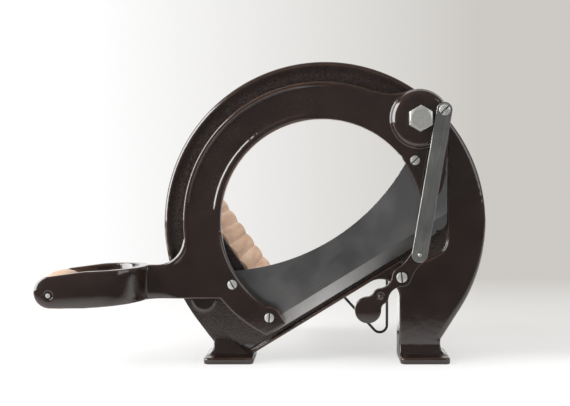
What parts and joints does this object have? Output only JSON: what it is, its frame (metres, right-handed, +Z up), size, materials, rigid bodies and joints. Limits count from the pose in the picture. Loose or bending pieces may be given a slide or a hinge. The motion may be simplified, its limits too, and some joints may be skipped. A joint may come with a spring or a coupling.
{
  "type": "hand-lever bread slicer",
  "caption": "Cast-iron tabletop bread slicer with a swinging ring-shaped knife arm, a stirrup handle, a slice gauge lever and a ribbed beech bread cradle.",
  "frame": {"origin": "middle of the footprint's bounding box, on the table", "axes": "+X to the viewer's right along the front face, away from the handle; +Y from the front face back along the bread cradle; +Z up"},
  "size_m": [0.4161, 0.2356, 0.283],
  "materials": {
    "enamel": "glossy brown-black enamel over cast iron",
    "sheet_steel": "dull zinc-plated sheet steel",
    "beech": "varnished beech",
    "black_wire": "black painted steel wire",
    "hardware": "bright steel",
    "blade_steel": "ground steel"
  },
  "bodies": {
    "frame": {"stand": "enamel", "bread_cradle": "sheet_steel", "side_board": "beech", "bed_board": "beech", "rear_leg": "black_wire", "leg_clips": "sheet_steel", "clip_screws": "hardware", "cradle_screws": "hardware", "board_screws": "hardware", "pivot_bolt": "hardware", "pivot_washer": "hardware", "nut_washer": "hardware", "pivot_nut": "hardware", "gauge_screw": "hardware", "gauge_washer": "hardware"},
    "arm": {"knife_arm": "enamel", "blade": "blade_steel", "blade_screws": "hardware", "grip_pin": "hardware", "link_screw": "hardware", "link_washer": "hardware"},
    "link": {"link_strap": "hardware", "link_rivet": "hardware"},
    "gauge": {"gauge_lever": "enamel", "gauge_rivet": "enamel"},
    "grip": {"handle_grip": "beech"}
  },
  "joints": [
    {"name": "arm_lift", "type": "hinge", "parent": "frame", "child": "arm", "pos_m": [0.14125, -0.07328, 0.2282], "axis": [0, 1, 0], "range_deg": [0, 50]},
    {"name": "gauge_swing", "type": "hinge", "parent": "frame", "child": "gauge", "pos_m": [0.12455, -0.08322, 0.0823], "axis": [0, 1, 0], "range_deg": [0, 55]},
    {"name": "link_swing", "type": "hinge", "parent": "arm", "child": "link", "pos_m": [0.16304, -0.08822, 0.236], "axis": [0, 1, 0], "range_deg": [-56, 0]},
    {"name": "grip_spin", "type": "hinge", "parent": "arm", "child": "grip", "pos_m": [-0.19205, -0.07328, 0.0694], "axis": [0, 1, 0], "continuous": true}
  ],
  "couplings": [
    {"joint": "gauge_swing", "follows": "arm_lift", "ratio": 1.09},
    {"joint": "link_swing", "follows": "arm_lift", "ratio": -1.105}
  ]
}
